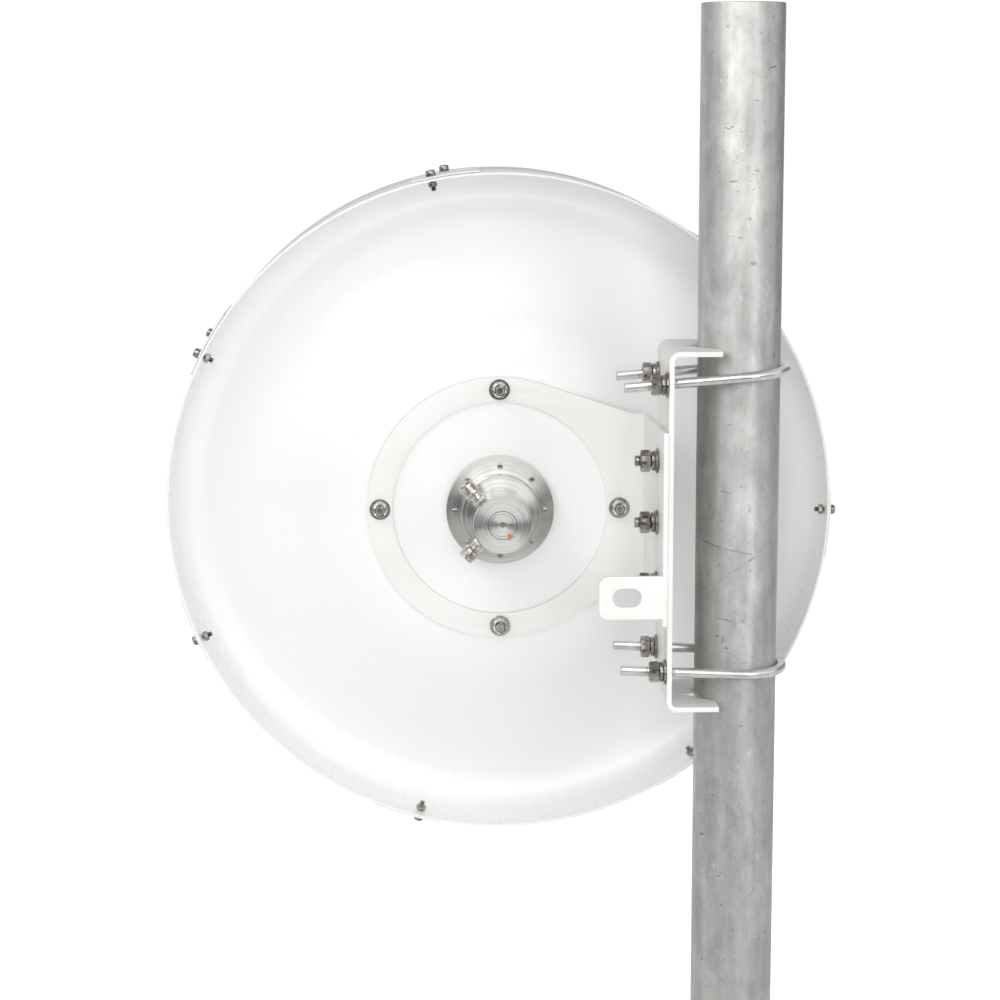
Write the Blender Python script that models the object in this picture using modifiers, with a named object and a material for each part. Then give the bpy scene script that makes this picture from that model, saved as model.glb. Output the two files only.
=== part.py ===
"""Microwave dish antenna on a galvanised pole, one object per sub-part.

Metres, +Z up along the pole, +Y the way the dish points, +X to the right as
seen from behind the dish. The origin is the middle of the underside of the
pole's foot plate.
"""

import math

import bmesh
import bpy
from mathutils import Matrix, Vector

MM = 0.001
GAP = 0.3                 # between two pieces that touch, in mm like every size below

POLE_OD = 73.0
POLE_WALL = 4.0
POLE_TOP = 1062.0
FOOT_R = 90.0
FOOT_T = 10.0
FOOT_HOLE_R = 66.0

DISH_X = -206.8           # the dish axis, from the pole axis
DISH_Z = 600.0
RING_Y = 132.0            # rear face of the ring plate
SHEET = 4.0               # bracket and clamp plate thickness
RING_OUT = 124.0
RING_HOLE = 100.9
RING_BOLT_R = 112.4

FLANGE_X = -70.6          # left face of the bracket's side flange
FLANGE_TOP, FLANGE_LOW = 696.3, 526.3      # at its near edge
BEND_TOP, BEND_LOW = 689.0, 531.0          # at the bend into the ring plate
FLANGE_NEAR = -56.0
LUG_X0, LUG_X1 = -126.0, -66.6
LUG_Z0, LUG_Z1 = 533.2, 571.2
LUG_SLOT = (-106.3, -97.3, 8.4)            # arc centres and radius

WEB_X = FLANGE_X + SHEET + GAP        # left face of the clamp channel
WEB_T = 4.5
CHAN_Z0, CHAN_Z1 = 448.9, 766.6
CHAN_HALF = 54.0
CHAN_TIP = -20.2

U_ROD = 9.0
U_HALF = 44.0
U_ENDS = (-104.8, -106.6)
U_HEIGHTS = (737.7, 484.4)
U_SLOPES = (4.6, -2.5)    # degrees, the bolts lean in their holes
U_ROLLS = (0.0, 1.7)      # degrees, far leg up
NUT_FLATS = 17.0
PIVOT_Z = 609.2
BOLT_PITCH = 55.2
BOLT_D = 10.0
TILT = 10.0               # degrees each way in the arc slots

RIM_R = 313.2             # outside of the reflector's turned-back lip
SHELL = 2.5
LIP_Y = 142.0             # rear edge of the lip
FOCAL = 200.0
SKIRT_Y0, SKIRT_Y1 = 212.0, 300.0
SKIRT_R, SKIRT_T = 313.2, 2.2
RIM_PHASE = 101.4
RIM_COUNT = 7
STRAP_TURN = 2.4          # degrees clockwise from its rim screw
TAB_W, TAB_T = 64.0, 1.6
TAB_Y0, TAB_Y1 = 146.0, 250.0
RIM_SCREW_Y, SKIN_SCREW_Y = 160.0, 232.0
NUT_GAP = 1.1             # the rim's facets dip up to 0.7 inside its true circle

FEED_R = 26.5
FEED_TUBE_R = 22.0
HUB_R = 50.3
STEP_R = 36.2
HUB_Y, STEP_Y, FEED_Y = 118.4, 95.0, 41.0
PORT_Y = 61.0
PORT_ANGLES = (135.0, 225.0)

for old in list(bpy.data.objects):
    bpy.data.objects.remove(old, do_unlink=True)

PART = bpy.data.collections.new("microwave dish antenna")
bpy.context.scene.collection.children.link(PART)
CUTTERS = bpy.data.collections.new("cutters")
bpy.context.scene.collection.children.link(CUTTERS)

FINISHES = {
    "galvanised": ((0.55, 0.56, 0.57), 1.0, 0.5),
    "white_sheet": ((0.86, 0.86, 0.84), 0.0, 0.35),
    "white_shell": ((0.9, 0.9, 0.9), 0.0, 0.25),
    "radome_plastic": ((0.88, 0.88, 0.87), 0.0, 0.45),
    "stainless": ((0.62, 0.61, 0.59), 1.0, 0.3),
    "bright_zinc": ((0.7, 0.7, 0.7), 1.0, 0.25),
    "turned_aluminium": ((0.75, 0.76, 0.77), 1.0, 0.25),
    "nickel": ((0.66, 0.62, 0.55), 1.0, 0.2),
}

X, Y, Z = Vector((1, 0, 0)), Vector((0, 1, 0)), Vector((0, 0, 1))


def frame(x, y, z, at=(0, 0, 0)):
    """The matrix that takes local axes to x, y and z, from a point in mm."""
    m = Matrix((x, y, z)).transposed().to_4x4()
    m.translation = Vector(at) * MM
    return m


FLAT = frame(X, Y, Z)                       # outline in X, Y, raised up Z
FACING = frame(X, Z, -Y)                    # outline in X, Z, raised toward the rear
SIDEWAYS = frame(Y, Z, X)                   # outline in Y, Z, raised along X
DISH = frame(X, -Z, Y, (DISH_X, 0, DISH_Z))  # local Z along the dish axis


def rim_frame(angle):
    """Local Z straight out from the dish axis, local Y along it."""
    out = Vector((math.cos(angle), 0, math.sin(angle)))
    side = Vector((math.sin(angle), 0, -math.cos(angle)))
    return frame(side, Y, out, (DISH_X, 0, DISH_Z))


def hang(name, pos):
    empty = bpy.data.objects.new(name, None)
    PART.objects.link(empty)
    empty.location = Vector(pos) * MM
    return empty


SWIVEL = hang("swivel_axis", (0, 0, PIVOT_Z))
TILT_AXIS = hang("tilt_axis", (0, 0, PIVOT_Z))
TILT_AXIS.parent = SWIVEL
TILT_AXIS.location = (0, 0, 0)
bpy.context.view_layer.update()


def finish(obj, name, slot, parent=None):
    """Names a finished piece, gives it its own material, files it and hangs it on its axis."""
    colour, metal, rough = FINISHES[slot]
    mat = bpy.data.materials.new(slot + " " + name)
    mat.use_nodes = True
    shader = mat.node_tree.nodes["Principled BSDF"]
    shader.inputs["Base Color"].default_value = (*colour, 1.0)
    shader.inputs["Metallic"].default_value = metal
    shader.inputs["Roughness"].default_value = rough
    obj.name = name
    if obj.data.materials:
        obj.material_slots[0].link = "OBJECT"
        obj.material_slots[0].material = mat
    else:
        obj.data.materials.append(mat)
    for coll in list(obj.users_collection):
        coll.objects.unlink(obj)
    PART.objects.link(obj)
    if parent:
        world = obj.matrix_world.copy()
        obj.parent = parent
        obj.matrix_parent_inverse = parent.matrix_world.inverted()
        obj.matrix_world = world
    return obj


def linked(data, matrix=None, name="piece"):
    obj = bpy.data.objects.new(name, data)
    CUTTERS.objects.link(obj)
    obj.matrix_world = matrix if matrix else Matrix.Identity(4)
    return obj


def baked(obj):
    """The object as it shows, made one welded mesh that holds its place."""
    bpy.context.view_layer.update()
    seen = obj.evaluated_get(bpy.context.evaluated_depsgraph_get())
    mesh = bpy.data.meshes.new_from_object(seen)
    mesh.transform(obj.matrix_world)
    bm = bmesh.new()
    bm.from_mesh(mesh)
    bmesh.ops.remove_doubles(bm, verts=bm.verts, dist=0.000005)
    bmesh.ops.recalc_face_normals(bm, faces=bm.faces)
    bm.to_mesh(mesh)
    bm.free()
    bpy.data.objects.remove(obj, do_unlink=True)
    return mesh


def flat(outlines, low, high, place=FLAT):
    """Closed outlines (the first the edge, the rest holes) raised from low to high, in mm."""
    curve = bpy.data.curves.new("outline", "CURVE")
    curve.dimensions = "2D"
    curve.fill_mode = "BOTH"
    curve.extrude = (high - low) / 2 * MM
    for outline in outlines:
        line = curve.splines.new("POLY")
        line.points.add(len(outline) - 1)
        line.use_cyclic_u = True
        for point, (u, v) in zip(line.points, outline):
            point.co = (u * MM, v * MM, 0, 1)
    return linked(baked(linked(curve, place @ Matrix.Translation((0, 0, (low + high) / 2 * MM)))))


def rods(spots, place=FLAT, sides=24):
    """Cylinders or hexagons: (u, v, radius, low, high) each, standing on the place's Z."""
    bm = bmesh.new()
    for u, v, r, low, high in spots:
        at = Matrix.Translation(Vector((u, v, (low + high) / 2)) * MM)
        bmesh.ops.create_cone(bm, cap_ends=True, segments=sides, radius1=r * MM, radius2=r * MM, depth=(high - low) * MM, matrix=place @ at)
    mesh = bpy.data.meshes.new("rods")
    bm.to_mesh(mesh)
    bm.free()
    return linked(mesh)


def turned(profile, place=FLAT, steps=64, closed=False):
    """A Screw about the place's Z; the profile (radius, height) runs down its outer side."""
    mesh = bpy.data.meshes.new("profile")
    n = len(profile)
    mesh.from_pydata([(r * MM, 0, h * MM) for r, h in profile], [(i, i + 1) for i in range(n - 1)] + ([(n - 1, 0)] if closed else []), [])
    obj = linked(mesh, place)
    mod = obj.modifiers.new("Turn", "SCREW")
    mod.angle = 2 * math.pi
    mod.steps = mod.render_steps = steps
    mod.use_merge_vertices = True
    mod.merge_threshold = 0.00002
    return obj


def circle(cu, cv, r, steps=32):
    return [(cu + r * math.cos(2 * math.pi * i / steps), cv + r * math.sin(2 * math.pi * i / steps)) for i in range(steps)]


def arc(cu, cv, r, a0, a1, steps):
    return [(cu + r * math.cos(math.radians(a0 + (a1 - a0) * i / steps)), cv + r * math.sin(math.radians(a0 + (a1 - a0) * i / steps))) for i in range(steps + 1)]


def joined(obj, *others, how="UNION"):
    for other in others:
        mod = obj.modifiers.new(how.title(), "BOOLEAN")
        mod.object = other
        mod.operation = how
        mod.solver = "EXACT"
        mod.use_self = True
        other.hide_render = True
        other.display_type = "WIRE"
    return obj


def cut(obj, *others):
    return joined(obj, *others, how="DIFFERENCE")


def rim_angles():
    return [math.radians(RIM_PHASE + 360.0 * k / RIM_COUNT) for k in range(RIM_COUNT)]


def ring_spots(r, count, size, low, high):
    return [(DISH_X + r * math.cos(2 * math.pi * k / count), DISH_Z + r * math.sin(2 * math.pi * k / count), size, low, high) for k in range(count)]


def pole():
    r, bore = POLE_OD / 2, POLE_OD / 2 - POLE_WALL
    obj = turned([(0, FOOT_T), (bore, FOOT_T), (bore, POLE_TOP - 0.8), (bore + 0.8, POLE_TOP), (r - 0.8, POLE_TOP), (r, POLE_TOP - 0.8),
                  (r, FOOT_T), (FOOT_R - 1.0, FOOT_T), (FOOT_R, FOOT_T - 1.0), (FOOT_R, 0), (0, 0)], steps=48)
    cut(obj, rods([(FOOT_HOLE_R * math.cos(a), FOOT_HOLE_R * math.sin(a), 7.0, -2, FOOT_T + 2) for a in (math.pi / 4 + k * math.pi / 2 for k in range(4))]))
    finish(obj, "pole", "galvanised")


def clamp_channel():
    x0, x1 = WEB_X, WEB_X + WEB_T
    ro, ri = 9.0, 9.0 - WEB_T
    low, top = CHAN_Z0, CHAN_Z1
    outline = ([(CHAN_TIP, low), (CHAN_TIP, low + WEB_T)] + arc(x1 + ri, low + WEB_T + ri, ri, 270, 180, 5)
               + arc(x1 + ri, top - WEB_T - ri, ri, 180, 90, 5) + [(CHAN_TIP, top - WEB_T), (CHAN_TIP, top)]
               + arc(x0 + ro, top - ro, ro, 90, 180, 6) + arc(x0 + ro, low + ro, ro, 180, 270, 6))
    obj = flat([outline], -CHAN_HALF, CHAN_HALF, FACING)
    apex = -(POLE_OD / 2 + GAP) * math.sqrt(2.0)
    reach = CHAN_TIP + 5 - apex
    vee = flat([[(apex, 0), (apex + reach, -reach), (apex + reach, reach)]], low - 5, top + 5)
    bores = rods([(y, leg_height(k, y), U_ROD / 2 + 0.7, x0 - 3, x1 + 3) for k in (0, 1) for y in (-U_HALF, U_HALF)]
                 + [(0, PIVOT_Z + k * BOLT_PITCH, BOLT_D / 2 + GAP, x0 - 3, x1 + 3) for k in (-1, 0, 1)], SIDEWAYS)
    finish(cut(obj, vee, bores), "clamp_channel", "white_sheet", SWIVEL)


def leg_height(k, y):
    """Height of a U-bolt's leg at the clamp channel's left face."""
    return U_HEIGHTS[k] + y * math.tan(math.radians(U_ROLLS[k]))


def u_bolt(name, z, slope, roll, end):
    curve = bpy.data.curves.new(name, "CURVE")
    curve.dimensions = "3D"
    curve.bevel_depth = U_ROD / 2 * MM
    curve.bevel_resolution = 2
    curve.use_fill_caps = True
    reach = (POLE_OD / 2 + GAP - WEB_X) / math.cos(math.radians(slope))     # the lean shortens it
    centre = WEB_X + reach + U_ROD / 2 - U_HALF
    path = [(end, -U_HALF)] + arc(centre, 0, U_HALF, -90, 90, 20) + [(end, U_HALF)]
    line = curve.splines.new("POLY")
    line.points.add(len(path) - 1)
    for point, (x, y) in zip(line.points, path):
        point.co = (x * MM, y * MM, z * MM, 1.0)
    lean = Matrix.Translation(Vector((WEB_X, 0, z)) * MM) @ Matrix.Rotation(-math.radians(slope), 4, "Y") @ Matrix.Rotation(math.radians(roll), 4, "X") @ Matrix.Translation(Vector((-WEB_X, 0, -z)) * MM)
    finish(linked(curve, lean), name, "bright_zinc", SWIVEL)


def nut_mesh(rod, seat, top):
    """A hexagon nut on its spring washer and flat washer, resting on local Z = 0 and standing up."""
    wash = rods([(0, 0, 11.0, 0, 2.2)], sides=16)
    stack = joined(wash, rods([(0, 0, 9.0, 1.0, seat)], sides=16), rods([(0, 0, NUT_FLATS / math.sqrt(3), seat - 1.0, top)], sides=6))
    return baked(cut(stack, rods([(0, 0, rod + GAP + 0.65, -3, top + 3)], sides=16)))


def nuts(names, mesh, spots, slot, parent):
    """Copies of a nut, standing toward -X on faces at the points given."""
    for name, (x, y, z) in zip(names, spots):
        finish(linked(mesh, frame(Y, -Z, -X, (x, y, z))), name, slot, parent)


def bend_profile(far):
    """The bend between ring plate and side flange, with a stub of each, seen from above."""
    xo = FLANGE_X + SHEET
    end, near = FLANGE_X - 15.0, far - 30.0
    return ([(end, far)] + arc(xo - 8, far - 8, 8, 90, 0, 6) + [(xo, near), (FLANGE_X, near)]
            + arc(xo - 8, far - 8, 4, 0, 90, 5) + [(end, far - SHEET)])


def slot_outline(up):
    w, run = BOLT_D / 2 + 0.6, TILT + 1.0
    a0, a1 = up - run, up + run
    (u0, v0), (u1, v1) = arc(0, PIVOT_Z, BOLT_PITCH, a0, a1, 1)
    return (arc(0, PIVOT_Z, BOLT_PITCH + w, a0, a1, 8) + arc(u1, v1, w, a1, a1 + 180, 8)[1:-1]
            + arc(0, PIVOT_Z, BOLT_PITCH - w, a1, a0, 8) + arc(u0, v0, w, a0 + 180, a0 + 360, 8)[1:-1])


def dish_bracket():
    """The ring plate, its side flange and the slotted lug, one bent sheet."""
    end = FLANGE_X - 12.0
    tangents = []
    for z, sign in ((BEND_TOP, 1), (BEND_LOW, -1)):
        u, v = end - DISH_X, z - DISH_Z
        tangents.append(math.degrees(math.atan2(v, u)) + sign * math.degrees(math.acos(RING_OUT / math.hypot(u, v))))
    edge = [(end, BEND_LOW), (end, BEND_TOP)] + arc(DISH_X, DISH_Z, RING_OUT, tangents[0], tangents[1] + 360, 48)
    far = RING_Y + SHEET
    plate = flat([edge, circle(DISH_X, DISH_Z, RING_HOLE, 64)], -far, -RING_Y, FACING)
    bend = flat([bend_profile(far)], BEND_LOW, BEND_TOP)
    y1 = far - 20.0
    side = flat([[(FLANGE_NEAR, FLANGE_LOW), (y1, BEND_LOW), (y1, BEND_TOP), (FLANGE_NEAR, FLANGE_TOP)]], FLANGE_X, FLANGE_X + SHEET, SIDEWAYS)
    su0, su1, sr = LUG_SLOT
    r, mid = 8.0, (LUG_Z0 + LUG_Z1) / 2
    lug = flat([arc(LUG_X0 + r, LUG_Z0 + r, r, 270, 180, 6) + arc(LUG_X0 + r, LUG_Z1 - r, r, 180, 90, 6) + [(LUG_X1, LUG_Z1), (LUG_X1, LUG_Z0)],
                arc(su0, mid, sr, 90, 270, 8) + arc(su1, mid, sr, 270, 450, 8)], -(FLANGE_NEAR + SHEET), -FLANGE_NEAR, FACING)
    joined(plate, bend, side, lug)
    cut(plate, rods(ring_spots(RING_BOLT_R, 4, 4.3, -far - 5, -RING_Y + 5), FACING),
        rods([(0, PIVOT_Z, BOLT_D / 2 + GAP, FLANGE_X - 3, FLANGE_X + SHEET + 3)], SIDEWAYS),
        *[flat([slot_outline(up)], FLANGE_X - 3, FLANGE_X + SHEET + 3, SIDEWAYS) for up in (90, -90)])
    finish(plate, "dish_bracket", "white_sheet", TILT_AXIS)


def bracket_bolts():
    x1 = WEB_X + WEB_T + GAP
    r, end = BOLT_D / 2, -91.3 - x1
    mesh = baked(turned([(0, 3.6), (5.5, 3.1), (8.8, 1.7), (10.0, 0.3), (10.0, 0), (r, 0), (r, end + 1.0), (r - 1.0, end), (0, end)], steps=24))
    for name, k in (("pivot_bolt", 0), ("slot_bolt_upper", 1), ("slot_bolt_lower", -1)):
        finish(linked(mesh, frame(Y, Z, X, (x1, 0, PIVOT_Z + k * BOLT_PITCH))), name, "stainless", SWIVEL)


def ring_bolts():
    """Stud with its washer and nut on the ring plate."""
    y = RING_Y - GAP
    stud = rods([(0, 0, 4.0, -12.0 - GAP, 11.0)], sides=16)
    mesh = baked(joined(stud, rods([(0, 0, 9.8, 0, 2.0)], sides=16), rods([(0, 0, 13.0 / math.sqrt(3), 1.0, 8.5)], sides=6)))
    for k, name in enumerate(("right", "top", "left", "bottom")):
        a = k * math.pi / 2
        at = (DISH_X + RING_BOLT_R * math.cos(a), y, DISH_Z + RING_BOLT_R * math.sin(a))
        finish(linked(mesh, frame(X, Z, -Y, at)), "ring_bolt_" + name, "stainless", TILT_AXIS)


def sheet_profile(line, thick):
    """Closes an open profile into a sheet, its second side on the left of the first."""
    out = []
    for i, (r, h) in enumerate(line):
        a, b = line[max(i - 1, 0)], line[min(i + 1, len(line) - 1)]
        dr, dh = b[0] - a[0], b[1] - a[1]
        n = math.hypot(dr, dh)
        out.append((r - dh / n * thick, h + dr / n * thick))
    return line + out[::-1]


def bowl_line():
    """The rear face of the reflector: flat middle, paraboloid, round gutter, turned-back lip."""
    back = RING_Y + SHEET + GAP
    flat_r, bowl_end = 126.0, 280.0
    line = [(FEED_TUBE_R + GAP, back), (60, back), (flat_r - 8, back), (flat_r, back + 0.5)]
    for i in range(1, 8):
        r = flat_r + (bowl_end - flat_r) * i / 7
        line.append((r, back + 0.5 + (r * r - flat_r * flat_r) / (4 * FOCAL) * min(1.0, 0.55 + 0.45 * i / 3)))
    (ra, ha), (rb, hb) = line[-2:]
    slope = math.atan2(hb - ha, rb - ra)
    inner = RIM_R - SHELL
    rg = (inner - rb) / (1 + math.sin(slope))
    line += arc(inner - rg, hb - rg * math.cos(slope), rg, 90 + math.degrees(slope), 0, 6)[1:]
    return line + [(inner, LIP_Y)]


def rim_bores(y, turn=0.0):
    """Radial cutters for the seven screws at one distance along the dish axis."""
    bm = bmesh.new()
    for a in rim_angles():
        at = Matrix.Translation(Vector((0, y, RIM_R)) * MM)
        bmesh.ops.create_cone(bm, cap_ends=True, segments=12, radius1=(2.5 + GAP) * MM, radius2=(2.5 + GAP) * MM, depth=24 * MM, matrix=rim_frame(a - math.radians(turn)) @ at)
    mesh = bpy.data.meshes.new("rim bores")
    bm.to_mesh(mesh)
    bm.free()
    return linked(mesh)


def reflector():
    obj = turned(sheet_profile(bowl_line(), SHELL)[::-1], DISH, 48, closed=True)
    y = RING_Y + SHEET
    cut(obj, rods(ring_spots(RING_BOLT_R, 4, 4.3, -y - 12, -y + 5), FACING), rim_bores(RIM_SCREW_Y))
    finish(obj, "reflector", "white_shell", TILT_AXIS)


def radome():
    t, crown, edge = SKIRT_T, 18.0, SKIRT_R - 6
    dome = [(edge * i / 5, SKIRT_Y1 + crown * (1 - (i / 5) ** 2)) for i in range(6)]
    outer = dome[:-1] + arc(edge, SKIRT_Y1 - 6, 6, 84, 0, 3) + [(SKIRT_R, SKIRT_Y0), (SKIRT_R - t, SKIRT_Y0), (SKIRT_R - t, SKIRT_Y1 - 5)]
    obj = turned(outer + [(r, h - t) for r, h in dome[:-1][::-1]], DISH, 64)
    finish(cut(obj, rim_bores(SKIN_SCREW_Y, STRAP_TURN)), "radome", "radome_plastic", TILT_AXIS)


def screw_mesh(y, seat, nut_at, end):
    """Button-headed screw with its nut, in the rim frame; seat, nut and end are distances from the dish axis."""
    at = frame(X, Y, Z, (0, y, 0))
    screw = turned([(0, seat + 5.6), (3.2, seat + 5.6), (4.6, seat + 4.4), (5.0, seat), (2.5, seat), (2.5, end), (0, end)], at, 10)
    return baked(joined(screw, rods([(0, 0, 8.0 / math.sqrt(3), nut_at - 4.5, nut_at)], at, 6)))


def rim_fixings():
    """Seven straps from the reflector's lip to the radome, each with its two screws."""
    inner, outer = RIM_R + GAP, RIM_R + GAP + TAB_T
    half, mid = math.degrees(TAB_W / 2 / RIM_R), 90 - STRAP_TURN
    band = arc(0, 0, outer, mid - half, mid + half, 4) + arc(0, 0, inner, mid + half, mid - half, 4)
    strap = flat([band], -TAB_Y1, -TAB_Y0, FACING)
    near = rods([(0, 0, 2.5 + GAP, RIM_R - 12, RIM_R + 12)], frame(X, Y, Z, (0, RIM_SCREW_Y, 0)), 12)
    far = linked(screw_mesh(SKIN_SCREW_Y, outer - 0.4, SKIRT_R - SKIRT_T - NUT_GAP, SKIRT_R - SKIRT_T - 9.5), Matrix.Rotation(math.radians(STRAP_TURN), 4, "Y"))
    strap_mesh = baked(joined(cut(strap, near), far))
    screw = screw_mesh(RIM_SCREW_Y, outer + GAP, RIM_R - SHELL - NUT_GAP, RIM_R - SHELL - 9.5)
    for k, a in enumerate(rim_angles(), 1):
        finish(linked(strap_mesh, rim_frame(a)), "rim_strap_%d" % k, "white_shell", TILT_AXIS)
        finish(linked(screw, rim_frame(a)), "rim_screw_%d" % k, "stainless", TILT_AXIS)


def feed():
    back, t = RING_Y + SHEET, FEED_TUBE_R
    flange = turned([(t + GAP, HUB_Y), (HUB_R - 1.5, HUB_Y), (HUB_R, HUB_Y + 1.5), (HUB_R, back), (t + GAP, back)][::-1], DISH, 48, closed=True)
    joined(flange, rods(ring_spots(42.2, 8, 2.8, -HUB_Y - 2, -HUB_Y + 2.2), FACING, 10))
    finish(flange, "feed_flange", "turned_aluminium", TILT_AXIS)
    top = HUB_Y - GAP
    finish(turned([(t + GAP, STEP_Y), (STEP_R - 1.0, STEP_Y), (STEP_R, STEP_Y + 1.0), (STEP_R, top), (t + GAP, top)][::-1], DISH, 48, closed=True), "feed_collar", "turned_aluminium", TILT_AXIS)
    low, bore, cap = STEP_Y - GAP, 19.0, FEED_Y + 10.0
    body = turned([(bore, cap + GAP), (FEED_R, cap + GAP), (FEED_R, low), (bore, low)][::-1], DISH, 48, closed=True)
    ports = bmesh.new()
    for d in PORT_ANGLES:
        at = Matrix.Translation(Vector((0, PORT_Y, 25.0)) * MM)
        bmesh.ops.create_cone(ports, cap_ends=True, segments=20, radius1=3 * MM, radius2=3 * MM, depth=30 * MM, matrix=rim_frame(math.radians(d)) @ at)
    mesh = bpy.data.meshes.new("ports")
    ports.to_mesh(mesh)
    ports.free()
    finish(cut(body, linked(mesh)), "feed_body", "turned_aluminium", TILT_AXIS)
    finish(turned([(0, FEED_Y), (FEED_R - 1.0, FEED_Y), (FEED_R, FEED_Y + 1.0), (FEED_R, cap), (0, cap)][::-1], DISH, 48), "feed_cap", "turned_aluminium", TILT_AXIS)
    finish(turned([(t, 262.0), (t, STEP_Y + GAP), (bore, STEP_Y + GAP), (bore, 262.0)], DISH, 32, closed=True), "feed_tube", "turned_aluminium", TILT_AXIS)
    finish(turned([(0, 290.0), (38.0, 288.0), (38.0, 284.0), (t + 2, 280.0), (t + 2, 262.0 + GAP), (0, 262.0 + GAP)], DISH, 32), "splash_plate", "turned_aluminium", TILT_AXIS)


def connectors():
    """Coaxial sockets on the feed's side: foot, neck and mouth with its pin."""
    foot = FEED_R + 1.0
    profile = [(0, foot + 18.0), (1.5, foot + 18.0), (1.5, foot + 12.0), (6.2, foot + 12.0), (6.2, foot + 20.0), (7.9, foot + 20.0), (7.9, foot + 10.5),
               (5.6, foot + 9.0), (5.6, foot + 3.0), (8.6, foot + 3.0), (8.6, foot), (2.7, foot), (2.7, 20.0), (0, 20.0)]
    for name, d in zip(("connector_upper", "connector_lower"), PORT_ANGLES):
        place = rim_frame(math.radians(d)) @ Matrix.Translation(Vector((0, PORT_Y, 0)) * MM)
        finish(turned(profile, place, 16), name, "nickel", TILT_AXIS)


pole()
clamp_channel()
for k, name in enumerate(("u_bolt_upper", "u_bolt_lower")):
    u_bolt(name, U_HEIGHTS[k], U_SLOPES[k], U_ROLLS[k], U_ENDS[k])
nuts(["u_bolt_nut_%s_%s" % (h, s) for h in ("upper", "lower") for s in ("near", "far")], nut_mesh(U_ROD / 2, 6.0, 14.7),
     [(WEB_X - GAP, y, leg_height(k, y) - 7.5 * math.tan(math.radians(U_SLOPES[k]))) for k in (0, 1) for y in (-U_HALF, U_HALF)], "stainless", SWIVEL)
dish_bracket()
bracket_bolts()
nuts(["bracket_nut_middle", "bracket_nut_upper", "bracket_nut_lower"], nut_mesh(BOLT_D / 2, 6.4, 15.6),
     [(FLANGE_X - GAP, 0, PIVOT_Z + k * BOLT_PITCH) for k in (0, 1, -1)], "stainless", SWIVEL)
ring_bolts()
reflector()
radome()
rim_fixings()
feed()
connectors()
CUTTERS.hide_render = True
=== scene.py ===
"""Looks of the microwave dish antenna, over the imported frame.

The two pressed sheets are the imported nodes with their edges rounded. Everything else is modelled here.
Sizes are in millimetres and turned into metres by MM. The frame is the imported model's:
+Z up the pole, +Y the way the dish points, +X to the right as seen from behind the dish.
"""
import math

import bpy
from mathutils import Matrix, Vector


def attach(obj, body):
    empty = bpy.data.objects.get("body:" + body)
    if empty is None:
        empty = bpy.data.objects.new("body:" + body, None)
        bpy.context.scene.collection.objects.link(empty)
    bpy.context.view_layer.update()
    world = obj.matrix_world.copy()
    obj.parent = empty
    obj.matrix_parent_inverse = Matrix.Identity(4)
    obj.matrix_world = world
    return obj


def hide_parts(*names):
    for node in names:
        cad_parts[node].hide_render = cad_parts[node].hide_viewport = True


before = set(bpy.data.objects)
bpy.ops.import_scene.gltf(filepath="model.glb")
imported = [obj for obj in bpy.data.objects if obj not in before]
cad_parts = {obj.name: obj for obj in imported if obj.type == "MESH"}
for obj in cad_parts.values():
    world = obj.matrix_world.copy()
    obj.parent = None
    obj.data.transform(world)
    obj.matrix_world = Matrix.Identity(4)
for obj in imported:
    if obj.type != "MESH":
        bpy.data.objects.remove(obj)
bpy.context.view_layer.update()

MM = 0.001

# ---------------------------------------------------------------- places, in mm and degrees
X, Y, Z = Vector((1, 0, 0)), Vector((0, 1, 0)), Vector((0, 0, 1))
GAP = 0.3                                           # between pieces that touch
POLE_R, POLE_BORE, POLE_TOP, FOOT_TOP = 36.5, 32.5, 1062.0, 10.0            # the tube stands on the foot plate
DISH_X, DISH_Z = -206.8, 600.0                      # the dish axis
RING_FACE, RING_CIRCLE = 132.0, 112.4               # rear face of the ring plate, circle of its bolts
FLANGE_FACE, WEB_FACE, WEB_BACK = -70.6, -66.3, -61.8
PIVOT_Z, BOLT_PITCH = 609.2, 55.2
U_HEIGHTS, U_SLOPES, U_ROLLS, U_ENDS = (737.7, 484.4), (4.6, -2.5), (0.0, 1.7), (-104.8, -106.6)    # upper, lower
U_HALF, U_ROD, NUT_FLATS = 44.0, 4.5, 17.0          # half the leg spacing, rod radius, nut across flats
RIM_R, RIM_PHASE, RIM_COUNT, STRAP_TURN = 313.2, 101.4, 7, 2.4
RIM_SCREW_Y, SKIN_SCREW_Y = 160.0, 232.0
LIP_Y, SHELL, SKIN = 142.0, 2.5, 2.2
STRAP_THICK = 1.6
FLANGE_Y, FLANGE_R, FLANGE_SCREWS, SCREW_CIRCLE = 118.4, 50.3, 8, 42.2      # the feed's flange
COLLAR_Y, COLLAR_R, HUB_R, CAP_Y = 95.0, 36.2, 26.5, 41.0
PORT_Y, PORT_ANGLES = 61.0, (135.0, 225.0)


def axes(x, y, z, at=(0, 0, 0)):
    """The matrix that takes a piece modelled at the origin to its place; at is in mm."""
    m = Matrix((x, y, z)).transposed().to_4x4()
    m.translation = Vector(at) * MM
    return m


def shifted(x, y, z):
    return Matrix.Translation(Vector((x, y, z)) * MM)


DISH = axes(X, -Z, Y, (DISH_X, 0, DISH_Z))          # local Z along the dish axis, heights are Y


def rim(angle):
    """Local Z straight out from the dish axis at an angle in degrees, local Y along that axis."""
    a = math.radians(angle)
    return axes(Vector((math.sin(a), 0, -math.cos(a))), Y, Vector((math.cos(a), 0, math.sin(a))), (DISH_X, 0, DISH_Z))


def leftward(y, z, x):
    """Local Z toward -X, on a face at x."""
    return axes(Y, -Z, -X, (x, y, z))


def on_circle(radius, angle, y):
    """Local Z toward the rear, at an angle in radians on a circle about the dish axis."""
    return axes(X, Z, -Y, (DISH_X + radius * math.cos(angle), y, DISH_Z + radius * math.sin(angle)))


def spun(angle):
    return Matrix.Rotation(angle, 4, "Z")


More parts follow.
